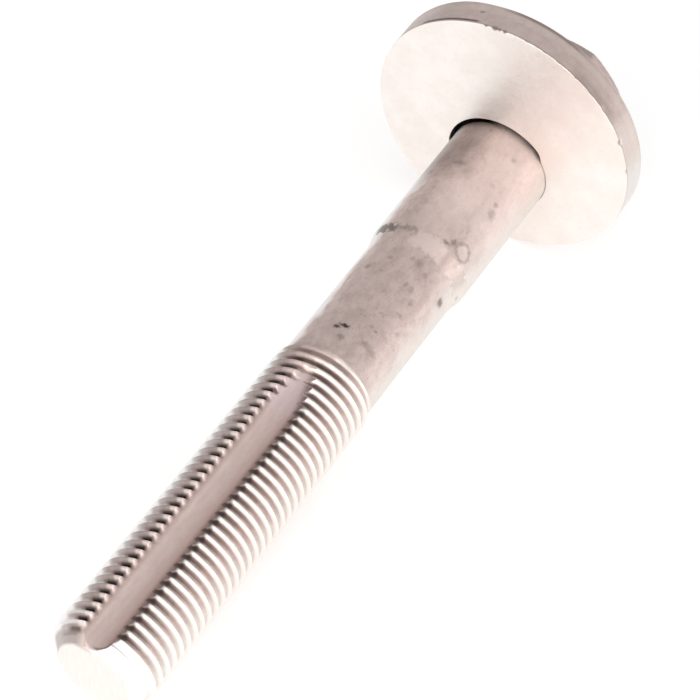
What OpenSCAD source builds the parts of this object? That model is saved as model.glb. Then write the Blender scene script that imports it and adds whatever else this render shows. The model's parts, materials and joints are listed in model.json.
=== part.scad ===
// Camber bolt: a forged hexagon-headed bolt with an eccentric cam plate pressed on under its head.
// It lies as it comes to rest: on the low side of the cam's rim and on the last crest of the thread,
// with the cam's high side and the keyway up. The ground is z = 0 and the head points to +X.
// The screw thread itself is a plain cylinder at its full crest diameter.

/* [Bolt] */
// Nominal diameter: the fitted shank and the crests of the thread
bolt_d = 12; // [10:0.5:14.5]
// Length from the cam plate's clamping face to the tip
bolt_len = 81; // [66:1:120]
// Length of the threaded end, from the tip to its last full crest
thread_len = 41.6; // [30:0.1:52]
// How far the thread's crests stand out from the plain shank that they are rolled on
crest_rise = 0.45; // [0.2:0.05:0.8]
// Length over which the thread fades out into the plain shank
runout_len = 1.2; // [0.6:0.1:2.5]
// Height of the 45 degree chamfer at the tip
tip_chamfer = 1.9; // [1:0.1:2.5]

/* [Fitted shank] */
// Length of the fitted shank that locates the bolt in its sleeve, from the clamping face
shank_len = 18; // [10:0.5:24]
// Length of the cone from the fitted shank down to the plain shank
step_len = 2; // [1:0.1:4]

/* [Keyway] */
// Depth of the round-bottomed keyway below the thread's crests
key_depth = 1.65; // [1:0.05:2]
// Radius of the keyway's round bottom
key_r = 2.2; // [1.8:0.1:3]
// Length over which the keyway curves up out of the thread, where its milling cutter was lifted
key_ramp = 8.5; // [6:0.5:14]
// Length of full thread left between the keyway and the plain shank
key_inset = 0.7; // [0.5:0.1:10]

/* [Head] */
// Width of the hexagon across its flats
head_af = 17; // [14:0.5:21]
// Height of the head above the cam plate
head_h = 10.5; // [7:0.5:13]
// Distance from the head's flat top to the hexagon's flats
head_top_edge = 0.5; // [0.2:0.1:1.2]
// Slope of the chamfer round the head's top
head_slope = 30; // [20:1:40]
// Turn of the hexagon from having a flat in line with the cam's high side
head_turn = 4; // [0:1:30]

/* [Cam plate] */
// Diameter of the cam plate's round rim
cam_d = 31.5; // [26:0.5:38]
// Thickness of the cam plate
cam_t = 3.7; // [2.5:0.1:5]
// Eccentricity: from the bolt's axis to the centre of the rim
cam_offset = 4.75; // [3:0.25:6]
// Radius of the rolled-over edge on the head's side, left by the blanking die
cam_roll = 0.5; // [0.3:0.1:1.2]
// Width of the open ring between the fitted shank and the plate's hole
ring_gap = 0.6; // [0.2:0.05:1]
// Depth of that ring, from the clamping face to the collar that the plate is pressed on
ring_depth = 0.9; // [0.5:0.1:1.8]
// Clearance all round between the collar and the plate's hole
collar_gap = 0.01; // [0.01:0.01:0.05]

/* [Hidden] */
$fn = 96;
// Overshoot of every cutter past the face that it leaves
over = 1;
bolt_r = bolt_d / 2;
blank_r = bolt_r - crest_rise;
tip_r = bolt_r - tip_chamfer;
thread_top = -bolt_len + thread_len;
hole_r = bolt_r + ring_gap;
collar_r = hole_r - collar_gap;
corner_r = head_af / 2 / cos(30);
head_top_r = head_af / 2 - head_top_edge;
// The bolt rests on the last crest before the tip's chamfer and on the cam's low side, or on the
// head's lowest corner if that reaches further, so its axis climbs towards the head
rest_span = bolt_len - tip_chamfer;
cam_low = cam_d / 2 - cam_offset;
head_low = corner_r * cos(30 - head_turn);
cam_tilt = atan((cam_low - bolt_r) / rest_span);
head_tilt = atan((head_low - bolt_r) / (rest_span + cam_t));
tilt = max(cam_tilt, head_tilt);
axis_rise = rest_span * sin(tilt) + bolt_r * cos(tilt);
// The ends of the lying bolt on either side of the clamping face, which centre it over the origin
tip_reach = bolt_len * cos(tilt) + tip_r * sin(tilt);
head_reach = (cam_t + head_h) * cos(tilt) + head_top_r * sin(tilt);

// Lays what is modelled along the bolt's own axis on to the ground. On that axis, z = 0 is the
// cam plate's clamping face, +z runs to the head, and +x is the cam's high side, which ends up.
module lying() {
    translate([(tip_reach - head_reach) / 2, 0, axis_rise])
        rotate([0, 90 - tilt, 0])
            rotate([0, 0, 180])
                children();
}

// Everything of the bolt that is turned about its axis, from the tip up to the underside of the head
module turned_profile() {
    polygon([
        [0, -bolt_len],
        [tip_r, -bolt_len],
        [bolt_r, -bolt_len + tip_chamfer],
        [bolt_r, thread_top],
        [blank_r, thread_top + runout_len],
        [blank_r, -shank_len - step_len],
        [bolt_r, -shank_len],
        [bolt_r, ring_depth],
        [collar_r, ring_depth + collar_r - bolt_r],
        [collar_r, cam_t],
        [0, cam_t]
    ]);
}

// Forged hexagon with a coned top. The cone is turned a little past the hexagon's corners.
module hex_head() {
    cone_r = corner_r + over;
    cone_h = (cone_r - head_top_r) * tan(head_slope);
    translate([0, 0, cam_t])
        intersection() {
            rotate([0, 0, 30 - head_turn])
                cylinder(h = head_h, r = corner_r, $fn = 6);
            rotate_extrude()
                polygon([
                    [0, 0],
                    [cone_r, 0],
                    [cone_r, head_h - cone_h],
                    [head_top_r, head_h],
                    [0, head_h]
                ]);
        }
}

// Rim of the round-nosed milling cutter that cut the keyway. It travels in from the tip, and its
// own round leaves the end that curves up through the thread, until it is clear of the bolt.
module keyway_cutter() {
    cutter_r = (key_depth * key_depth + key_ramp * key_ramp) / 2 / key_depth;
    straight_len = thread_len - key_inset - key_ramp;
    clear_angle = acos((cutter_r - key_depth - over) / cutter_r);
    translate([bolt_r - key_depth, 0, -bolt_len]) {
        translate([key_r, 0, -over])
            cylinder(h = straight_len + over, r = key_r);
        translate([cutter_r, 0, straight_len])
            rotate([90, 0, 180])
                rotate_extrude(angle = clear_angle)
                    translate([cutter_r - key_r, 0])
                        circle(r = key_r);
    }
}

// The bolt is one forging: head, collar, fitted shank, plain shank and keyed threaded end
module bolt() {
    color([0.66, 0.61, 0.60])
        lying()
            difference() {
                union() {
                    rotate_extrude()
                        turned_profile();
                    hex_head();
                }
                keyway_cutter();
            }
}

// Section of the blanked disc: sharp on the clamping face, rolled over on the head's side
module cam_section() {
    rim_r = cam_d / 2;
    square([rim_r - cam_roll, cam_t]);
    square([rim_r, cam_t - cam_roll]);
    translate([rim_r - cam_roll, cam_t - cam_roll])
        circle(r = cam_roll);
}

// The cam plate is blanked from plate, with its hole off centre, and pressed on the bolt's collar
module cam_plate() {
    color([0.72, 0.68, 0.66])
        lying()
            difference() {
                translate([cam_offset, 0, 0])
                    rotate_extrude()
                        cam_section();
                translate([0, 0, -over])
                    cylinder(h = cam_t + 2 * over, r = hole_r);
            }
}

bolt();
cam_plate();
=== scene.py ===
# Camber bolt: the visual model of a keyed hexagon bolt with an eccentric cam plate.
# Sizes are in millimetres in the bolt's own axes: z = 0 is the cam plate's clamping face, +z runs
# to the head, and angle 0 is the cam's high side, where the keyway is. +angle turns from +x to +y.
import json
import math

import bmesh
import bpy
import numpy as np
from mathutils import Matrix, Vector


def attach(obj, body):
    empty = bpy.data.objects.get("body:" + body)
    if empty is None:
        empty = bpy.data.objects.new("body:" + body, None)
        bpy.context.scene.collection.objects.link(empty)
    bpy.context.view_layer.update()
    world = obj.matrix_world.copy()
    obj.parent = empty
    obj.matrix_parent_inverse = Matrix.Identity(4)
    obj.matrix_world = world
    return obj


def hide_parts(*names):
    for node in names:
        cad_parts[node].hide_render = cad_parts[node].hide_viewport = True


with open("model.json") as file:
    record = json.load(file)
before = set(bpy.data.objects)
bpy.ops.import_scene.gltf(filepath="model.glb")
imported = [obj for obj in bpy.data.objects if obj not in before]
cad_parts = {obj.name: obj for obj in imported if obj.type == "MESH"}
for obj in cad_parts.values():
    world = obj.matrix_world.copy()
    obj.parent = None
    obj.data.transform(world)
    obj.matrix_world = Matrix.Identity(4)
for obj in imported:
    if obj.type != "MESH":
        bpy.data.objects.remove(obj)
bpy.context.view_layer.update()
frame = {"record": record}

MM = 0.001
MOUNTS = {m["name"]: m for m in frame["record"]["mounts"]}


def mount_size(name, key):
    return MOUNTS[name]["dims"][key]


def mount_place(name):
    return Vector(MOUNTS[name]["pos_m"])


# The bolt's own axes in the row frame, worked out from the mounts
SHANK_LEN = mount_size("fitted_shank", "length_mm")
TO_HEAD = -Vector(MOUNTS["fitted_shank"]["axis"])
FACE = mount_place("fitted_shank") + TO_HEAD * SHANK_LEN / 2 * MM
TO_RIM_CENTRE = mount_place("cam_rim") - FACE
TO_RIM_CENTRE -= TO_RIM_CENTRE.dot(TO_HEAD) * TO_HEAD
HIGH_SIDE = TO_RIM_CENTRE.normalized()
SIDEWAYS = TO_HEAD.cross(HIGH_SIDE)
OWN_AXES = Matrix((HIGH_SIDE, SIDEWAYS, TO_HEAD)).transposed()


def own_place(name, axis):
    """How far a mount lies along one of the bolt's own axes. The record rounds places to a
    micrometre, so this is rounded back to a hundredth of a millimetre."""
    return round((mount_place(name) - FACE).dot(axis) / MM, 2)


# Bolt
BOLT_R = mount_size("fitted_shank", "r_mm")
TIP_CHAMFER = 1.9
CHAMFER_TOP = own_place("thread", TO_HEAD) - mount_size("thread", "length_mm") / 2
BOLT_LEN = round(TIP_CHAMFER - CHAMFER_TOP, 2)
TIP_R = BOLT_R - TIP_CHAMFER
CREST_RISE = 0.45
BLANK_R = BOLT_R - CREST_RISE
STEP_LEN = 2.0
STEP_START = -SHANK_LEN - STEP_LEN
# Fillets at both ends of the step: distance from its end along the axis, and out from the axis
STEP_FILLET = ((-0.3, 0.0), (0.0, 0.012), (0.25, 0.06))

# Thread
PITCH = 1.25
CREST_PHASE = 0.65
THREAD_DEPTH = 0.775
THREAD_END = -38.6
RUNOUT_LEN = 1.4
THREAD_GRID_TOP = THREAD_END + RUNOUT_LEN + 0.4
# One pitch of thread from a root to just below the next: distance from the crest's middle as a share
# of the pitch, depth below the crest, and how much painted shade it takes, which is most on the flank
# to the tip
THREAD_PROFILE = (
    (-0.50, THREAD_DEPTH, 0.50), (-0.40, 0.725, 0.95), (-0.29, 0.49, 0.72), (-0.17, 0.22, 0.05),
    (-0.07, 0.035, 0.00), (0.00, 0.0, 0.00), (0.07, 0.035, 0.00), (0.17, 0.22, 0.05),
    (0.29, 0.49, 0.15), (0.40, 0.725, 0.30),
)

# Keyway
KEY_DEPTH = round(BOLT_R - own_place("keyway", HIGH_SIDE), 2)
KEY_R = 2.2
KEY_END = round(2 * own_place("keyway", TO_HEAD) + BOLT_LEN, 2)
KEY_RAMP = 8.5
CUTTER_R = (KEY_DEPTH**2 + KEY_RAMP**2) / 2 / KEY_DEPTH
NO_KEYWAY = 99.0

# Cam plate
CAM_R = mount_size("cam_rim", "r_mm")
CAM_ROLL = 0.5
CAM_T = mount_size("cam_rim", "length_mm") + CAM_ROLL
CAM_OFFSET = TO_RIM_CENTRE.length / MM
RING_GAP = 0.6
RING_DEPTH = 0.9
HOLE_R = BOLT_R + RING_GAP
COLLAR_GAP = 0.01
COLLAR_R = HOLE_R - COLLAR_GAP
# The rim's front edge, and the part of its rear edge that is rolled over less, by a share
EDGE_R = 0.05
SHARP_PART = math.radians(-52)
SHARP_PART_ROLL = 0.3
# The hole's mouth, which the plate's metal closes in to a clearance, and to a gap on its open side,
# down to a depth, from where it widens to the hole. Its edge is bevelled.
MOUTH_CLEARANCE = 0.02
MOUTH_GAP = 0.5
MOUTH_OPEN = math.radians(-20)
MOUTH_DEPTH = 0.3
MOUTH_WIDENING = 0.25
MOUTH_BEVEL_OUT = 0.05
MOUTH_BEVEL_UP = 0.08

# Head
HEAD_AF = 17.0
HEAD_H = 10.5
HEAD_TOP = CAM_T + HEAD_H
HEAD_TOP_EDGE = 0.5
HEAD_TOP_R = HEAD_AF / 2 - HEAD_TOP_EDGE
HEAD_SLOPE = math.radians(30)
HEAD_TURN = math.radians(4)
HEAD_CORNER_R = 0.5
HEAD_CORNER_RISE = 0.9
HEAD_EDGE = 0.12

# Nicks in the rim's front edge: angle in degrees, half width in degrees, depth
NICKS = (
    (-11.5, 0.9, 0.14), (-7.5, 1.3, 0.26), (-5.2, 0.7, 0.16), (-3.0, 0.9, 0.20), (6.5, 1.4, 0.06),
    (15.0, 1.0, 0.08), (22.0, 1.6, 0.06), (31.0, 1.2, 0.08), (39.0, 1.8, 0.06), (48.0, 1.2, 0.07),
    (64.5, 1.6, 0.16), (79.0, 1.3, 0.10),
)
NICK_HEIGHT = 0.38
# The burr along the front edge: where it starts and ends in degrees, and its groove
BURR = (-43, -17)
BURR_Z = 0.42
BURR_DEPTH = 0.09
BURR_HALF_WIDTH = 0.11

# Meshes: columns round each piece, in degrees where they are angles, rows along the bolt, and rings
# of the plate with the heights of those on its rim
KEY_ARC = 66
KEY_COLUMNS = 57
PLAIN_COLUMNS = 166
CORNER_COLUMNS = (-2.2, -1.1, 0, 1.1, 2.2)
CLOSEST_COLUMNS = 0.35
CAM_COLUMNS = 480
SHANK_ROWS = 14
HEAD_SIDE_ROWS = 5
HEAD_CONE_ROWS = 12
FRONT_FACE_RINGS = 20
REAR_FACE_RINGS = 12
FRONT_EDGE_RINGS = 5
REAR_EDGE_RINGS = 7
RIM_HEIGHTS = (0.2, 0.28, 0.36, 0.44, 0.52, 0.62, 0.75, 0.95, 1.2, 1.55, 1.9, 2.25, 2.6, 2.9)
# How many of the rim's first rings, round its front edge, look like the plate's face
FACE_LIKE_RINGS = 3
KEYWAY_ROUNDS = 6
SHARP_ANGLE = math.radians(42)
MERGE_DISTANCE = 0.0005

# Materials: how metallic they are, and how deep their fine grain is
BOLT_METAL = 0.75
BOLT_GRAIN = 0.06
PLATE_METAL = 0.8
PLATE_GRAIN = 0.05

# Stage. CAMERA_PLACE is where the camera stands, seen from the clamping face's middle, and
# CAMERA_BACK the way back from what it looks at, both as azimuth and elevation in degrees.
# Lamps, the floor and what is nearest and farthest seen are in metres.
CAMERA_PLACE = (-156.133, 43.439)
CAMERA_DISTANCE = 338.93
CAMERA_BACK = (-152.67, 47.27)
CAMERA_ROLL = math.radians(-5.06)
CAMERA_LENS = 154
SENSOR_WIDTH = 36
NEAREST_SEEN = 0.01
FARTHEST_SEEN = 20
# Round area lights: name, azimuth and elevation in degrees, power
LIGHTS = (("front", 178, 8, 6.0), ("side", -95, 8, 4.5))
LIGHT_DISTANCE = 0.9
LIGHT_SIZE = 0.6
WORLD_LIGHT = 0.62
FLOOR_HALF = 3.0
FLOOR_GREY = (0.85, 0.85, 0.85, 1)
FLOOR_GLOW = 0.42
WHITE = (1, 1, 1, 1)


def to_row(points):
    """Points in the bolt's own axes, in millimetres, as points in the row frame, in metres."""
    turn = np.array(OWN_AXES)
    return np.asarray(points) * MM @ turn.T + np.array(FACE)


def ring(radius, angles, z):
    """Points at one height, from one radius or a radius for each angle."""
    flat = np.full(len(angles), z)
    return np.stack([radius * np.cos(angles), radius * np.sin(angles), flat], axis=-1)


def smoothstep(low, high, value):
    t = np.clip((value - low) / (high - low), 0, 1)
    return t * t * (3 - 2 * t)


def make_object(name, points, faces, attributes):
    """A mesh object from points in the bolt's own axes, with float attributes. Its materials read
    the own axes, in millimetres, from the attribute own."""
    mesh = bpy.data.meshes.new(name)
    mesh.from_pydata(to_row(points).tolist(), [], faces)
    own = mesh.attributes.new("own", "FLOAT_VECTOR", "POINT")
    own.data.foreach_set("vector", np.asarray(points, np.float32).ravel())
    for key, values in attributes.items():
        layer = mesh.attributes.new(key, "FLOAT", "POINT")
        layer.data.foreach_set("value", np.asarray(values, np.float32).ravel())
    merge = bmesh.new()
    merge.from_mesh(mesh)
    bmesh.ops.remove_doubles(merge, verts=merge.verts, dist=MERGE_DISTANCE * MM)
    bmesh.ops.recalc_face_normals(merge, faces=merge.faces)
    merge.to_mesh(mesh)
    merge.free()
    mesh.shade_smooth()
    mesh.set_sharp_from_angle(angle=SHARP_ANGLE)
    piece = bpy.data.objects.new(name, mesh)
    bpy.context.scene.collection.objects.link(piece)
    return piece


def quads(rows, columns, shift=0):
    """Faces of a grid that closes round the axis. The last column meets the first, shift rows up."""
    faces = []
    for i in range(rows - 1):
        first = i * columns
        last = first + columns - 1
        for a in range(first, last):
            faces.append((a, a + 1, a + 1 + columns, a + columns))
        low = min(i + shift, rows - 1)
        high = min(i + 1 + shift, rows - 1)
        if low == high:
            faces.append((last, low * columns, last + columns))
        else:
            faces.append((last, low * columns, high * columns, last + columns))
    return faces


# ---------------------------------------------------------------- bolt

def bolt_angles():
    """Column angles round the bolt from -pi to pi: close together across the keyway and at the
    hexagon's corners, wider elsewhere."""
    key_axis = BOLT_R - KEY_DEPTH + KEY_R
    arc = np.radians(np.linspace(-KEY_ARC, KEY_ARC, KEY_COLUMNS))
    keyway = np.arctan2(KEY_R * np.sin(arc), key_axis - KEY_R * np.cos(arc))
    edge = keyway.max()
    plain = np.linspace(edge, 2 * math.pi - edge, PLAIN_COLUMNS)[1:-1]
    corners = np.radians(np.arange(6) * 60 + 30) - HEAD_TURN
    near_corners = corners[:, None] + np.radians(CORNER_COLUMNS)[None, :]
    angles = np.concatenate([keyway, plain, near_corners.ravel()])
    angles = np.sort((angles + math.pi) % (2 * math.pi) - math.pi)
    keep = np.concatenate([[True], np.diff(angles) > np.radians(CLOSEST_COLUMNS)])
    return angles[keep]


def keyway_radius(angle, z):
    """How far from the axis the keyway's bottom lies, or NO_KEYWAY beside it. Where its end curves
    up, the radius depends on how far off the middle it lies, so it is worked out in a few rounds."""
    # Past the straight part the cutter lifts, and well within its radius it is clear of the bolt
    past = np.clip(z - (KEY_END - KEY_RAMP), 0, CUTTER_R * 0.9)
    cutter_axis = BOLT_R - KEY_DEPTH + CUTTER_R
    radius = np.full(np.broadcast(angle, z).shape, BOLT_R)
    for _ in range(KEYWAY_ROUNDS):
        half = np.clip(KEY_R**2 - (radius * np.sin(angle)) ** 2, 0, None)
        reach = CUTTER_R - KEY_R + np.sqrt(half)
        radius = (cutter_axis - np.sqrt(reach**2 - past**2)) / np.cos(angle)
    on_high_side = np.cos(angle) > 0.5
    return np.where((half > 0) & on_high_side, radius, NO_KEYWAY)


def thread_grid(angles):
    """Heights, radii, cavity and painted flank shade of rows that follow the right-hand helix from
    the tip to
    THREAD_GRID_TOP, cut off level at both ends. cavity is 0 on the crests and 1 in the roots."""
    places, depths, flank_shades = np.array(THREAD_PROFILE).T
    turns = math.ceil((THREAD_GRID_TOP + BOLT_LEN) / PITCH) + 3
    # The first crest is so far below the tip that no column starts above it
    first = -BOLT_LEN - 1.5 * PITCH
    first += (CREST_PHASE * PITCH - first) % PITCH
    on_axis = first - PITCH + np.arange(turns)[:, None] * PITCH + (places * PITCH)[None, :]
    z = on_axis.reshape(-1, 1) + PITCH * angles[None, :] / (2 * math.pi)
    z = np.clip(z, -BOLT_LEN, THREAD_GRID_TOP)
    full = 1 - smoothstep(THREAD_END, THREAD_END + RUNOUT_LEN, z)
    depth = np.tile(depths, turns)[:, None]
    radius = BLANK_R + (BOLT_R - depth - BLANK_R) * full
    cavity = depth / THREAD_DEPTH * full
    dull = np.tile(flank_shades, turns)[:, None] * full
    return z, radius, cavity, dull


def plain_rows():
    """(z, radius) of the plain shank, the step, the fitted shank and the collar."""
    below_step = STEP_START + STEP_FILLET[0][0]
    above_step = -SHANK_LEN + 1.2
    rows = [(z, BLANK_R) for z in np.linspace(THREAD_GRID_TOP, below_step, SHANK_ROWS)[1:]]
    rows += [(STEP_START + along, BLANK_R + out) for along, out in STEP_FILLET[1:]]
    rows += [(-SHANK_LEN - along, BOLT_R - out) for along, out in reversed(STEP_FILLET)]
    rows += [(z, BOLT_R) for z in np.linspace(above_step, RING_DEPTH, SHANK_ROWS)]
    rows += [(RING_DEPTH + COLLAR_R - BOLT_R, COLLAR_R), (CAM_T, COLLAR_R)]
    return rows


def hexagon_radius(angle):
    """Distance from the axis to the hexagon's side, with its corners a little rounded."""
    sector = math.pi / 3
    off = (angle + HEAD_TURN + sector / 2) % sector - sector / 2
    flat = HEAD_AF / 2 / np.cos(off)
    sharp = HEAD_AF / 2 / math.cos(sector / 2)
    blunt = sharp - HEAD_CORNER_R * (1 / math.cos(sector / 2) - 1)
    from_corner = sector / 2 - np.abs(off)
    return np.minimum(flat, blunt + from_corner * HEAD_CORNER_RISE)


def head_rows(angles):
    """(z, radius per column) from the head's underside round its sides to its flat top."""
    sides = hexagon_radius(angles)
    rows = [
        (CAM_T, (COLLAR_R + sides) / 2),
        (CAM_T, sides - HEAD_EDGE),
        (CAM_T + HEAD_EDGE, sides),
    ]
    rows += [(z, sides) for z in np.linspace(CAM_T + 1.5, HEAD_TOP - 1.6, HEAD_SIDE_ROWS)]
    cone_h = (sides.max() - HEAD_TOP_R) * math.tan(HEAD_SLOPE)
    for drop in np.linspace(cone_h + 0.1, 0, HEAD_CONE_ROWS):
        cone = HEAD_TOP_R + drop / math.tan(HEAD_SLOPE)
        rows.append((HEAD_TOP - drop, np.minimum(sides, cone)))
    rows += [(HEAD_TOP, HEAD_TOP_R * share) for share in (0.97, 0.7, 0.35)]
    return rows


def end_points(angles):
    """Two rings and the middle of the tip's face, and the middle of the head's top."""
    rings = [ring(TIP_R * share, angles, -BOLT_LEN) for share in (0.93, 0.5)]
    return np.concatenate([*rings, [[0, 0, -BOLT_LEN], [0, 0, HEAD_TOP]]])


def end_faces(columns, count):
    """Faces that close both ends of a grid of count points, with the points of end_points."""
    faces = []
    top_ring = count - columns
    outer = count
    inner = outer + columns
    tip_middle = inner + columns
    top_middle = tip_middle + 1
    for j in range(columns):
        k = (j + 1) % columns
        faces.append((j, outer + j, outer + k, k))
        faces.append((outer + j, inner + j, inner + k, outer + k))
        faces.append((inner + j, tip_middle, inner + k))
        faces.append((top_ring + j, top_ring + k, top_middle))
    return faces


def build_bolt():
    """The threaded end as one grid, everything from there to the head's top as another on its last
    row, and both ends closed. The keyway and the chamfer cut the thread's radius down."""
    angles = bolt_angles()
    columns = len(angles)
    z, radius, cavity, dull = thread_grid(angles)
    chamfer = TIP_R + (z + BOLT_LEN)
    radius = np.minimum(radius, chamfer)
    floor = keyway_radius(angles[None, :], z)
    cut = np.clip(radius - floor, 0, None)
    in_key = (cut > 0).astype(float)
    radius = np.minimum(radius, floor)
    off_tip = smoothstep(TIP_R, TIP_R + 1.6, chamfer) * (1 - in_key)
    threaded = np.stack([radius * np.cos(angles), radius * np.sin(angles), z], axis=-1)
    faces = quads(len(z), columns, len(THREAD_PROFILE))

    upper = [ring(r, angles, h) for h, r in plain_rows() + head_rows(angles)]
    last_row = (len(z) - 1) * columns
    for face in quads(len(upper) + 1, columns):
        faces.append(tuple(v + last_row for v in face))
    points = np.concatenate([threaded.reshape(-1, 3), *upper])
    faces += end_faces(columns, len(points))
    points = np.concatenate([points, end_points(angles)])

    above = np.zeros(len(points) - radius.size)
    grids = {"cavity": cavity * off_tip, "dull": dull * off_tip, "keyway": in_key, "cut": cut}
    attributes = {key: np.concatenate([grid.ravel(), above]) for key, grid in grids.items()}
    return make_object("bolt_body", points, faces, attributes)


# ---------------------------------------------------------------- cam plate

def mouth_radius(angles):
    """The hole's radius at the clamping face, which the plate's metal closes in on one side."""
    open_side = smoothstep(0.15, 0.45, np.cos(angles - MOUTH_OPEN))
    return BOLT_R + MOUTH_CLEARANCE + MOUTH_GAP * open_side


def rim_wear(angles, z):
    """How far the rim is set back at a height: nicks in its front edge, and the groove of a burr."""
    turn = (np.degrees(angles) + 180) % 360 - 180
    wear = np.zeros(len(angles))
    for place, width, depth in NICKS:
        wear += depth * np.exp(-((turn - place) / width) ** 2)
    wear *= math.exp(-(z / NICK_HEIGHT) ** 2)
    start, end = BURR
    along = smoothstep(start - 3, start + 3, turn) * (1 - smoothstep(end - 4, end + 2, turn))
    return wear + BURR_DEPTH * along * math.exp(-((z - BURR_Z) / BURR_HALF_WIDTH) ** 2)


def rim_ring(angles, z):
    """The rim at a height: a little round at the front edge, rolled over on the head's side, and
    less so along one part of it."""
    front = EDGE_R - math.sqrt(EDGE_R**2 - max(EDGE_R - z, 0) ** 2)
    sharp = smoothstep(0.75, 0.95, np.cos(angles - SHARP_PART))
    roll = CAM_ROLL * (1 - (1 - SHARP_PART_ROLL) * sharp)
    over = np.clip(z - (CAM_T - roll), 0, roll)
    back = roll - np.sqrt(roll**2 - over**2)
    radius = CAM_R - front - back - rim_wear(angles, z)
    return ring(radius, angles, z) + (CAM_OFFSET, 0, 0)


def rim_heights():
    """Heights of the rim's rings, which are closest together round its two edges."""
    quarter = math.pi / 2
    front = [EDGE_R * (1 - math.cos(t)) for t in np.linspace(0, quarter, FRONT_EDGE_RINGS)]
    rolled = [CAM_ROLL * math.sin(t) for t in np.linspace(0, quarter, REAR_EDGE_RINGS)]
    return [*front, *RIM_HEIGHTS, *(CAM_T - CAM_ROLL + rise for rise in rolled)]


def between(inner, outer, shares):
    """Rings that lie between two rings, by the shares given."""
    return [inner + (outer - inner) * share for share in shares]


def build_cam_plate():
    """Rings from the hole's inside over the front face, the rim and the rear face, and back."""
    angles = np.linspace(0, 2 * math.pi, CAM_COLUMNS, endpoint=False)
    mouth = mouth_radius(angles)
    heights = rim_heights()
    rows = [
        ring(HOLE_R, angles, CAM_T / 2),
        ring(HOLE_R, angles, MOUTH_DEPTH + MOUTH_WIDENING),
        ring(mouth, angles, MOUTH_DEPTH),
        ring(mouth, angles, MOUTH_BEVEL_UP),
        ring(mouth + MOUTH_BEVEL_OUT, angles, 0.0),
    ]
    rows += between(rows[-1], rim_ring(angles, 0.0), np.linspace(0.03, 0.985, FRONT_FACE_RINGS))
    rim_start = len(rows)
    rows += [rim_ring(angles, z) for z in heights]
    rim_end = len(rows)
    rows += between(rows[-1], ring(HOLE_R, angles, CAM_T), np.linspace(0.02, 1, REAR_FACE_RINGS))
    rows.append(rows[0])
    rim = np.zeros((len(rows), CAM_COLUMNS))
    rim[rim_start + FACE_LIKE_RINGS:rim_end] = 1
    worn = np.zeros_like(rim)
    worn[rim_start:rim_end] = [rim_wear(angles, z) for z in heights]
    attributes = {"rim": rim, "worn": worn}
    return make_object("cam_disc", np.concatenate(rows), quads(len(rows), CAM_COLUMNS), attributes)


# ---------------------------------------------------------------- materials
# Tones are painted by place, many of them as painted light and shade: z is a height in mm, turn an
# angle in degrees, and left and right are the sides of negative and positive angles, as the camera
# sees them. paint() is given the most that a colour covers, as a share, and a window fades to 0 over
# the width that is its last number.

def colour(code):
    """A six-digit sRGB colour code as linear red, green, blue and alpha."""
    channels = [int(code[i:i + 2], 16) / 255 for i in (0, 2, 4)]
    linear = [c / 12.92 if c <= 0.04045 else ((c + 0.055) / 1.055) ** 2.4 for c in channels]
    return (*linear, 1)


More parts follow.
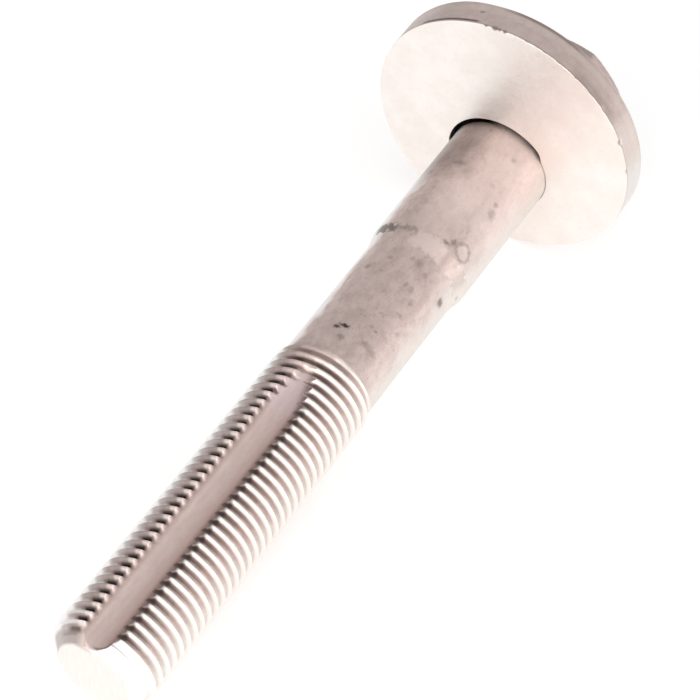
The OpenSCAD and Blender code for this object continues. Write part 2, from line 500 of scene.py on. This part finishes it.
class Nodes:
    """Adds nodes to a material. Each call returns the new node's output socket."""

    def __init__(self, name):
        self.material = bpy.data.materials.new(name)
        self.material.use_nodes = True
        self.tree = self.material.node_tree
        self.shader = self.tree.nodes["Principled BSDF"]

    def add(self, kind, inputs, output=0, **settings):
        node = self.tree.nodes.new("ShaderNode" + kind)
        for key, value in settings.items():
            setattr(node, key, value)
        for slot, value in inputs.items():
            self.set(node.inputs[slot], value)
        return node.outputs[output]

    def set(self, socket, value):
        if isinstance(value, bpy.types.NodeSocket):
            self.tree.links.new(value, socket)
        else:
            socket.default_value = value

    def attribute(self, name, output="Fac"):
        return self.add("Attribute", {}, output, attribute_name=name)

    def parts(self, vector):
        """The vector's x, y and z."""
        node = self.tree.nodes.new("ShaderNodeSeparateXYZ")
        self.tree.links.new(vector, node.inputs[0])
        return node.outputs

    def calc(self, operation, a, b=0.0):
        return self.add("Math", {0: a, 1: b}, operation=operation)

    def vectors(self, operation, a, b):
        return self.add("VectorMath", {0: a, 1: b}, operation=operation)

    def length(self, vector):
        return self.add("VectorMath", {0: vector}, "Value", operation="LENGTH")

    def stretched(self, vector, x, y, z):
        return self.vectors("MULTIPLY", vector, (x, y, z))

    def degrees(self, x, y):
        """The angle of x and y round the axis, in degrees from -180 to 180."""
        return self.calc("DEGREES", self.calc("ARCTAN2", y, x))

    def noise(self, vector, scale, detail, rough=0.55, output="Fac"):
        inputs = {"Vector": vector, "Scale": scale, "Detail": detail, "Roughness": rough}
        return self.add("TexNoise", inputs, output)

    def span(self, value, low, high, start=0.0, end=1.0):
        """A smooth step from start, where value is low, to end, where it is high."""
        inputs = {"Value": value, "From Min": low, "From Max": high, "To Min": start, "To Max": end}
        return self.add("MapRange", inputs, interpolation_type="SMOOTHSTEP")

    def window(self, value, low, high, soft):
        """1 where value is between low and high, fading to 0 over a width outside them."""
        up = self.span(value, low - soft, low)
        return self.calc("MULTIPLY", up, self.span(value, high + soft, high))

    def both(self, *factors):
        """The product of two or more masks."""
        total = factors[0]
        for factor in factors[1:]:
            total = self.calc("MULTIPLY", total, factor)
        return total

    def spot(self, vector, place, size, soft):
        """1 inside an ellipsoid round a place, fading to 0 over its outer part."""
        offset = self.vectors("SUBTRACT", vector, place)
        away = self.length(self.vectors("DIVIDE", offset, size))
        return self.span(away, 1.0, 1.0 - soft)

    def mix(self, factor, a, b):
        node = self.tree.nodes.new("ShaderNodeMix")
        node.data_type = "RGBA"
        self.set(node.inputs[0], factor)
        self.set(node.inputs[6], a)
        self.set(node.inputs[7], b)
        return node.outputs[2]

    def paint(self, base, factor, share, code):
        """base covered by a colour where factor is 1, by at most share."""
        return self.mix(self.calc("MULTIPLY", factor, share), base, colour(code))

    def relief(self, fine, share, broad):
        """A height from fine noise, by its share, and broad noise."""
        high = self.calc("MULTIPLY", fine, share)
        return self.calc("ADD", high, self.calc("MULTIPLY", broad, 1 - share))

    def finish(self, base, metallic, roughness, height, distance):
        bump = self.add("Bump", {"Height": height, "Strength": 1.0, "Distance": distance})
        self.set(self.shader.inputs["Base Color"], base)
        self.set(self.shader.inputs["Metallic"], metallic)
        self.set(self.shader.inputs["Roughness"], roughness)
        self.set(self.shader.inputs["Normal"], bump)
        return self.material


def on_bolt(z, angle, radius):
    """A place on the bolt from its height and its angle in degrees."""
    turn = math.radians(angle)
    return (radius * math.cos(turn), radius * math.sin(turn), z)


def bolt_steel():
    """Matt zinc on steel: mauve grey with darker blotches, painted light and shade round the bolt,
    painted shade in the thread roots, a cream tip.
    """
    n = Nodes("bolt_steel")
    own = n.attribute("own", "Vector")
    x, y, z = n.parts(own)
    turn = n.degrees(x, y)
    wander = n.span(n.noise(own, 0.35, 1.0), 0.2, 0.8, -6.0, 6.0)
    uneven_turn = n.calc("ADD", turn, wander)
    clouds = n.noise(n.stretched(own, 1.0, 1.0, 0.7), 0.8, 4.0, 0.6)
    blotches = n.noise(n.stretched(own, 1.0, 1.0, 0.8), 2.1, 5.0, 0.65)
    grain = n.noise(own, 7.0, 4.0, 0.7)

    base = n.mix(n.span(clouds, 0.3, 0.7), colour("CDB8B2"), colour("E0CCC6"))
    base = n.paint(base, n.span(blotches, 0.54, 0.72), 0.35, "9A8A84")
    base = side_tones(n, base, uneven_turn, z)
    base = n.paint(base, n.span(grain, 0.55, 0.25), 0.2, "7A6A66")
    base = shank_tones(n, base, own, uneven_turn, z)
    base = shank_marks(n, base, own)
    base = thread_tones(n, base, turn, z)
    base = key_side_tones(n, base, turn, y, z)
    base = thread_end_tones(n, base, turn, z)
    base = keyway_tones(n, base, own, y, z)
    base = tip_tones(n, base, own, turn)
    base = ring_tones(n, base, turn, z)

    rough = n.span(blotches, 0.3, 0.75, 0.42, 0.58)
    height = n.relief(grain, 0.35, blotches)
    return n.finish(base, BOLT_METAL, rough, height, BOLT_GRAIN * MM)


def side_tones(n, base, turn, z):
    """Painted light: both sides of the bolt below its head painted pale, as painted reflections, and
    palest on the left.
    """
    below_head = n.span(z, CAM_T, CAM_T - 0.1)
    sides = n.calc("MAXIMUM", n.span(turn, 50, 90), n.span(turn, -36, -60))
    base = n.paint(base, n.both(sides, below_head), 0.8, "EEE8E2")
    return n.paint(base, n.both(n.window(turn, -80, -57, 19), below_head), 0.9, "FCFAF9")


def ring_tones(n, base, turn, z):
    """Painted shade: the head a little darker, and the open ring round the shank nearly black deep
    inside and all along its left."""
    base = n.paint(base, n.span(z, CAM_T, CAM_T + 0.1), 0.4, "7D6D67")
    in_plate = n.window(z, 0.1, CAM_T - 0.3, 0.1)
    dark = n.calc("MAXIMUM", n.span(turn, 0, -20), n.span(z, 0.3, 0.6))
    return n.paint(base, n.both(in_plate, dark), 1.0, "1A1312")


def shank_tones(n, base, own, turn, z):
    """Broad tones on the shank: painted shade on the left below the plate, a painted highlight on the
    right and a lighter patch in the middle, and the step's cone, with a painted highlight on top,
    painted shade on the right and dark along the left of its upper edge."""
    near_plate = n.window(z, -6.5, 0.1, 5.0)
    base = n.paint(base, n.both(near_plate, n.window(turn, -62, -25, 30)), 0.6, "74665F")
    fitted = n.span(z, -SHANK_LEN + 2, -SHANK_LEN + 6)
    base = n.paint(base, n.both(fitted, n.window(turn, 15, 70, 20)), 0.4, "F6E3DC")
    middle = n.both(n.window(z, -16, -11, 3), n.window(turn, -5, 20, 15))
    base = n.paint(base, middle, 0.4, "F2DFD9")
    uneven = n.calc("ADD", z, n.span(n.noise(own, 1.3, 4.0, 0.65), 0.25, 0.75, -0.45, 0.45))
    cone = n.window(uneven, STEP_START + 0.3, -SHANK_LEN - 0.2, 0.5)
    base = n.paint(base, n.both(cone, n.window(turn, 0, 30, 10)), 0.65, "F8E2DC")
    base = n.paint(base, n.both(cone, n.window(turn, 42, 80, 12)), 0.5, "B9A69F")
    upper_edge = n.window(uneven, -SHANK_LEN - 0.85, -SHANK_LEN - 0.2, 0.5)
    base = n.paint(base, n.both(upper_edge, n.window(turn, -52, -34, 14)), 0.75, "5F5450")
    thin = n.window(uneven, -SHANK_LEN - 0.5, -SHANK_LEN - 0.2, 0.3)
    return n.paint(base, n.both(thin, n.window(turn, -22, -8, 8)), 0.35, "6A5D58")


# Small marks on the shank: height, angle in degrees, half width, half height, share of dark colour
SHANK_MARKS = (
    (-34.1, -7.5, 0.50, 0.34, 0.85),
    (-33.6, -3.5, 0.55, 0.26, 0.60),
    (-33.6, 0.5, 0.50, 0.34, 0.95),
    (-35.2, 4.0, 0.60, 0.45, 0.35),
    (-22.6, 73.0, 0.66, 0.62, 0.62),
    (-19.4, 95.0, 0.60, 0.30, 0.45),
    (-34.2, 30.0, 0.80, 0.50, 0.30),
    (-34.4, 43.0, 0.70, 0.45, 0.28),
    (-32.1, 31.0, 0.28, 0.28, 0.45),
    (-31.9, 24.0, 0.35, 0.30, 0.25),
    (-28.4, 40.0, 0.60, 0.35, 0.30),
    (-29.8, 23.0, 0.35, 0.35, 0.25),
    (-30.2, 52.0, 0.35, 0.35, 0.25),
    (-25.0, 32.0, 0.45, 0.60, 0.25),
    (-24.9, 24.0, 0.30, 0.45, 0.28),
    (-26.2, 41.0, 0.50, 0.50, 0.22),
    (-24.8, -28.0, 0.50, 0.40, 0.30),
    (-22.8, -10.0, 0.60, 0.40, 0.22),
    (-21.6, 22.0, 0.50, 0.80, 0.28),
    (-22.3, 35.0, 0.35, 0.50, 0.25),
    (-21.6, 12.0, 0.35, 0.40, 0.20),
    (-16.8, 36.0, 0.45, 0.60, 0.45),
    (-17.5, 30.0, 0.60, 0.25, 0.45),
    (-10.3, 50.0, 0.60, 0.80, 0.32),
    (-8.9, 47.0, 0.35, 0.45, 0.32),
    (-7.5, 31.0, 0.40, 0.40, 0.12),
    (-7.0, -14.0, 0.90, 0.45, 0.30),
    (-2.9, 32.0, 0.35, 0.35, 0.25),
)
MARK_SPREAD = 1.25
# A faint round scratch: height and angle, radius, half the width of its line
SCRATCH_PLACE = (-16.7, 51)
SCRATCH_R = 1.0
SCRATCH_LINE = 0.08


def shank_marks(n, base, own):
    """Pits and stains, with ragged edges, and a faint round scratch beside the step."""
    wobble = n.vectors("SUBTRACT", n.noise(own, 2.2, 3.0, 0.6, "Color"), (0.5, 0.5, 0.5))
    ragged = n.vectors("ADD", own, n.stretched(wobble, 0.9, 0.9, 0.7))
    for height, turn, wide, high, dark in SHANK_MARKS:
        radius = BLANK_R if height < STEP_START else BOLT_R
        size = (wide * MARK_SPREAD, wide * MARK_SPREAD, high * MARK_SPREAD)
        spot = n.spot(ragged, on_bolt(height, turn, radius), size, 0.8)
        base = n.paint(base, spot, dark, "3B302E")
    away = n.length(n.vectors("SUBTRACT", ragged, on_bolt(*SCRATCH_PLACE, BOLT_R)))
    round_line = n.window(away, SCRATCH_R - SCRATCH_LINE, SCRATCH_R + SCRATCH_LINE, 0.24)
    base = n.paint(base, round_line, 0.28, "6E605B")
    return n.paint(base, n.span(away, SCRATCH_R, SCRATCH_R - 0.4), 0.35, "F3E6E0")


def on_thread(n, z):
    """1 on the thread, fading to 0 over its run-out."""
    return n.span(z, THREAD_END + RUNOUT_LEN, THREAD_END + 0.4)


def thread_tones(n, base, turn, z):
    """The thread's two sides, in painted light and shade: painted highlights on the crests on the
    right, a band of painted shade on the left, and painted shade on the flanks to the tip, which
    fades out towards the right."""
    threaded = on_thread(n, z)
    dull = n.attribute("dull")
    crests = n.span(dull, 0.55, 0.1)
    base = n.paint(base, n.both(threaded, crests, n.window(turn, 18, 125, 32)), 0.95, "FBF3EE")
    base = n.paint(base, n.both(threaded, n.window(turn, -49, -30, 11)), 0.5, "7D706C")
    flanks = n.span(dull, 0.25, 0.95)
    right = n.both(n.span(turn, -2, 8), n.span(turn, 90, 18))
    base = n.paint(base, n.both(flanks, right), 0.88, "56433E")
    past_key = n.span(z, KEY_END - 1.2, KEY_END + 0.6)
    over_key = n.window(turn, -22, 4, 10)
    return n.paint(base, n.both(threaded, flanks, over_key, past_key), 0.8, "5A4843")


def key_side_tones(n, base, turn, y, z):
    """The thread beside the keyway: painted highlights on the teeth and painted shadow in the gaps
    along its left edge, gaps painted pale as painted light left of those, and a dark line along its
    right edge."""
    cavity = n.attribute("cavity")
    gaps = n.span(cavity, 0.4, 0.9)
    teeth = n.both(n.span(z, KEY_END - 1.5, KEY_END - 5), n.span(cavity, 0.6, 0.3))
    base = n.paint(base, n.both(teeth, n.window(turn, -24, -17, 4)), 0.6, "F8E9E3")
    end_gaps = n.both(gaps, n.window(z, KEY_END - 4, KEY_END + 0.6, 1.5))
    base = n.paint(base, n.both(end_gaps, n.window(turn, -36, -18, 6)), 0.75, "4A3B37")
    beside_key = n.span(z, KEY_END + 0.2, KEY_END - 1.8)
    left_gaps = n.both(gaps, n.window(turn, -34.5, -25, 5), beside_key)
    base = n.paint(base, left_gaps, 0.98, "1C1311")
    base = n.paint(base, n.both(gaps, n.window(turn, -110, -46, 8)), 0.75, "F4F0ED")
    # A dark line along the keyway's right edge, beside the thread.
    burr = n.both(n.window(y, 1.6, 2.15, 0.45), n.span(z, KEY_END - 3.5, KEY_END - 6.5))
    return n.paint(base, n.both(burr, n.span(turn, 0, 10)), 0.75, "4A3A36")


def thread_end_tones(n, base, turn, z):
    """The thread's first turns at the tip, with painted highlights on both sides, and its last turn,
    whose flanks are hardly darker than the shank, and which is painted in the shank's tone on top to
    look faint."""
    cavity = n.attribute("cavity")
    near_tip = n.both(n.span(z, -BOLT_LEN + 16, -BOLT_LEN + 4), n.window(turn, 40, 90, 15))
    base = n.paint(base, n.both(near_tip, n.span(cavity, 0.9, 0.4)), 0.5, "FFFBF8")
    left_tip = n.both(n.span(z, -BOLT_LEN + 4.5, -BOLT_LEN + 3), n.window(turn, -62, -24, 8))
    base = n.paint(base, n.both(left_tip, n.span(cavity, 0.35, 0.05)), 0.6, "FAF5F2")
    threaded = on_thread(n, z)
    flanks = n.span(n.attribute("dull"), 0.25, 0.95)
    last_turn = n.both(threaded, n.span(z, THREAD_END - 0.7, THREAD_END + 0.1))
    base = n.paint(base, n.both(last_turn, flanks), 0.6, "D2BDB7")
    fading = n.both(threaded, n.span(z, THREAD_END - 1.1, THREAD_END - 0.5))
    return n.paint(base, n.both(fading, n.window(turn, -9, 11, 7)), 0.7, "CFBAB4")


def keyway_tones(n, base, own, y, z):
    """The keyway's milled bottom: pink and light in the middle, with painted shade up both walls and
    round its end, deepest up the right wall, and a painted shadow line along its right edge, beside
    the thread."""
    clouds = n.noise(n.stretched(own, 1.6, 1.6, 0.5), 1.0, 4.0, 0.6)
    pink = n.mix(n.span(clouds, 0.3, 0.75), colour("E6CFC9"), colour("F0DBD5"))
    pink = n.paint(pink, n.span(y, -1.1, -1.6), 0.7, "B09A93")
    pink = n.paint(pink, n.span(y, -0.6, 1.1), 0.75, "D2B7B1")
    pink = n.paint(pink, n.span(y, 0.8, 1.8), 0.62, "7A645E")
    pink = n.paint(pink, n.window(z, KEY_END - 5.5, KEY_END - 2.5, 1.5), 0.3, "E4D6DC")
    from_axis = n.length(n.stretched(own, 1.0, 1.0, 0.0))
    wall = n.both(n.span(from_axis, BOLT_R - 1.3, BOLT_R - 0.4), n.span(y, 0.1, 0.9))
    near_end = n.window(z, KEY_END - 5.5, KEY_END - 2.2, 1.7)
    pink = n.paint(pink, n.both(wall, near_end), 0.75, "7E6861")
    edge = n.span(n.attribute("cut"), 0.4, 0.08)
    edge = n.both(edge, n.span(y, -0.3, 0.5), n.span(z, KEY_END - 3.5, KEY_END - 5.5))
    pink = n.paint(pink, edge, 0.65, "4E3D38")
    return n.mix(n.attribute("keyway"), base, pink)


def tip_tones(n, base, own, turn):
    """The cream end face, and its chamfer, with a painted highlight on the right and painted shade on
    the left.
    """
    x, y, z = n.parts(own)
    chamfer_top = -BOLT_LEN + TIP_CHAMFER
    chamfer = n.span(z, chamfer_top + 0.1, chamfer_top - 0.3)
    lower = n.span(z, -BOLT_LEN + 1.5, -BOLT_LEN + 1.0)
    beside = n.calc("SUBTRACT", 1.0, n.attribute("keyway"))
    base = n.paint(base, n.both(chamfer, beside, n.window(turn, 25, 140, 25)), 0.9, "F8F4F2")
    base = n.paint(base, n.both(lower, beside, n.window(turn, -75, -25, 15)), 0.6, "9A8780")
    lines = n.noise(n.stretched(own, 0.4, 6.0, 1.0), 1.0, 3.0, 0.6)
    cream = n.mix(n.span(lines, 0.35, 0.7), colour("EDE5E0"), colour("F4EDE8"))
    top_left = n.both(n.span(x, TIP_R - 0.55, TIP_R - 0.3), n.span(y, 0.3, -0.6))
    cream = n.paint(cream, top_left, 0.4, "B9AD98")
    return n.mix(n.span(z, -BOLT_LEN + 0.25, -BOLT_LEN + 0.02), base, cream)


def plate_steel():
    """Matt zinc on blanked plate: a pale cream face, and a mauve grey sheared rim."""
    n = Nodes("plate_steel")
    own = n.attribute("own", "Vector")
    clouds = n.noise(own, 0.25, 4.0, 0.6)
    fine = n.noise(own, 1.6, 5.0, 0.65)
    grain = n.noise(own, 8.0, 4.0, 0.7)
    face = n.mix(n.span(clouds, 0.35, 0.7), colour("F8F0EA"), colour("FDF7F2"))
    face = n.paint(face, n.span(fine, 0.55, 0.8), 0.25, "DCC9C2")
    base = n.mix(n.attribute("rim"), face, rim_tones(n, own))
    base = n.paint(base, n.span(n.attribute("worn"), 0.02, 0.16), 0.55, "5E4F4B")
    base = n.paint(base, n.span(grain, 0.7, 0.3), 0.1, "7A6A66")
    rough = n.span(fine, 0.3, 0.75, 0.32, 0.46)
    return n.finish(base, PLATE_METAL, rough, n.relief(grain, 0.3, fine), PLATE_GRAIN * MM)


def rim_tones(n, own):
    """The sheared rim: fine scores across it, a dark burr line, painted shade on the rolled rear edge
    on top with a light band below it, darker towards the front edge and on the left, a painted
    highlight on the right side, and one dark spot."""
    x, y, z = n.parts(own)
    turn = n.degrees(n.calc("SUBTRACT", x, CAM_OFFSET), y)
    clouds = n.noise(n.stretched(own, 1.0, 1.0, 1.6), 0.9, 4.0, 0.6)
    scores = n.noise(n.stretched(own, 5.0, 5.0, 0.5), 1.0, 3.0, 0.6)
    side = n.mix(n.span(clouds, 0.3, 0.7), colour("D6C1BB"), colour("E2CFC8"))
    side = n.paint(side, n.span(scores, 0.55, 0.8), 0.25, "A8958E")
    side = n.paint(side, n.window(z, 2.3, 2.8, 0.4), 0.35, "F0DED7")
    rear_edge = n.both(n.window(turn, 0, 20, 14), n.span(z, 2.8, 3.2))
    side = n.paint(side, rear_edge, 0.65, "7E6C66")
    side = n.paint(side, n.both(n.window(turn, 33, 50, 8), n.span(z, 1.6, 0.6)), 0.35, "9A8780")
    side = n.paint(side, n.window(turn, 64, 120, 14), 0.6, "E2D8CF")
    side = n.paint(side, n.window(turn, 88, 115, 16), 0.7, "EDEAE8")
    side = n.paint(side, n.span(z, 0.35, 0.1), 0.35, "A08F88")
    side = n.paint(side, n.window(turn, -75, -38, 20), 0.4, "7F716B")
    burr = n.both(n.window(turn, *BURR, 3), n.window(z, 0.3, 0.46, 0.16))
    side = n.paint(side, burr, 0.8, "564744")
    spot = n.spot(own, rim_place(-17, 1.95), (0.5, 0.5, 0.35), 0.8)
    return n.paint(side, spot, 0.5, "5A4B48")


def rim_place(angle, z):
    """A place on the rim from its angle in degrees round the rim's centre, and its height."""
    turn = math.radians(angle)
    return (CAM_OFFSET + CAM_R * math.cos(turn), CAM_R * math.sin(turn), z)


# ---------------------------------------------------------------- stage

def direction(azimuth, elevation):
    """Unit vector at an azimuth from +X towards +Y and an elevation above the ground, in degrees."""
    a, e = math.radians(azimuth), math.radians(elevation)
    return Vector((math.cos(a) * math.cos(e), math.sin(a) * math.cos(e), math.sin(e)))


def add_camera():
    """The camera, fitted to the photograph."""
    data = bpy.data.cameras.new("camera")
    data.sensor_width = SENSOR_WIDTH
    data.lens = CAMERA_LENS
    data.clip_start = NEAREST_SEEN
    data.clip_end = FARTHEST_SEEN
    camera = bpy.data.objects.new("camera", data)
    bpy.context.scene.collection.objects.link(camera)
    bpy.context.scene.camera = camera
    back = direction(*CAMERA_BACK)
    level = Vector((0, 0, 1)).cross(back).normalized()
    upright = back.cross(level)
    up = math.cos(CAMERA_ROLL) * upright + math.sin(CAMERA_ROLL) * level
    right = up.cross(back)
    place = FACE + direction(*CAMERA_PLACE) * CAMERA_DISTANCE * MM
    turn = Matrix((right, up, back)).transposed().to_4x4()
    camera.matrix_world = Matrix.Translation(place) @ turn


def add_area_light(name, azimuth, elevation, power):
    """A round lamp that faces the origin from a direction."""
    towards = direction(azimuth, elevation)
    data = bpy.data.lights.new(name, "AREA")
    data.shape = "DISK"
    data.size = LIGHT_SIZE
    data.energy = power
    light = bpy.data.objects.new(name, data)
    bpy.context.scene.collection.objects.link(light)
    light.location = towards * LIGHT_DISTANCE
    light.rotation_mode = "QUATERNION"
    light.rotation_quaternion = towards.to_track_quat("Z", "Y")


def seen_directly(tree):
    """1 for rays that show the background itself: from the camera, in gloss, or through glass."""
    path = tree.nodes.new("ShaderNodeLightPath")
    total = path.outputs["Is Camera Ray"]
    for name in ("Is Glossy Ray", "Is Transmission Ray"):
        either = tree.nodes.new("ShaderNodeMath")
        either.operation = "MAXIMUM"
        tree.links.new(total, either.inputs[0])
        tree.links.new(path.outputs[name], either.inputs[1])
        total = either.outputs[0]
    return total


def add_world():
    """A plain soft light from all round."""
    world = bpy.data.worlds.new("world")
    world.use_nodes = True
    bpy.context.scene.world = world
    light = world.node_tree.nodes["Background"]
    light.inputs["Color"].default_value = WHITE
    light.inputs["Strength"].default_value = WORLD_LIGHT


def floor_material():
    """A pale floor that glows to white where it is seen directly, but for the object's shadow."""
    material = bpy.data.materials.new("floor")
    material.use_nodes = True
    tree = material.node_tree
    shader = tree.nodes["Principled BSDF"]
    shader.inputs["Base Color"].default_value = FLOOR_GREY
    shader.inputs["Roughness"].default_value = 0.9
    shader.inputs["Specular IOR Level"].default_value = 0.0
    shader.inputs["Emission Color"].default_value = WHITE
    part = tree.nodes.new("ShaderNodeMath")
    part.operation = "MULTIPLY"
    part.inputs[1].default_value = FLOOR_GLOW
    tree.links.new(seen_directly(tree), part.inputs[0])
    tree.links.new(part.outputs[0], shader.inputs["Emission Strength"])
    return material


def add_floor():
    """A square floor at the ground, which belongs to the stage and not to the part."""
    mesh = bpy.data.meshes.new("floor")
    signs = ((-1, -1), (1, -1), (1, 1), (-1, 1))
    corners = [(x * FLOOR_HALF, y * FLOOR_HALF, 0) for x, y in signs]
    mesh.from_pydata(corners, [], [(0, 1, 2, 3)])
    mesh.materials.append(floor_material())
    floor = bpy.data.objects.new("floor", mesh)
    bpy.context.scene.collection.objects.link(floor)


bolt = build_bolt()
bolt.data.materials.append(bolt_steel())
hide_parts("bolt")
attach(bolt, "root")

plate = build_cam_plate()
plate.data.materials.append(plate_steel())
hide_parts("cam_plate")
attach(plate, "root")

add_world()
add_floor()
for light in LIGHTS:
    add_area_light(*light)
add_camera()
bpy.context.scene.view_settings.view_transform = "Standard"
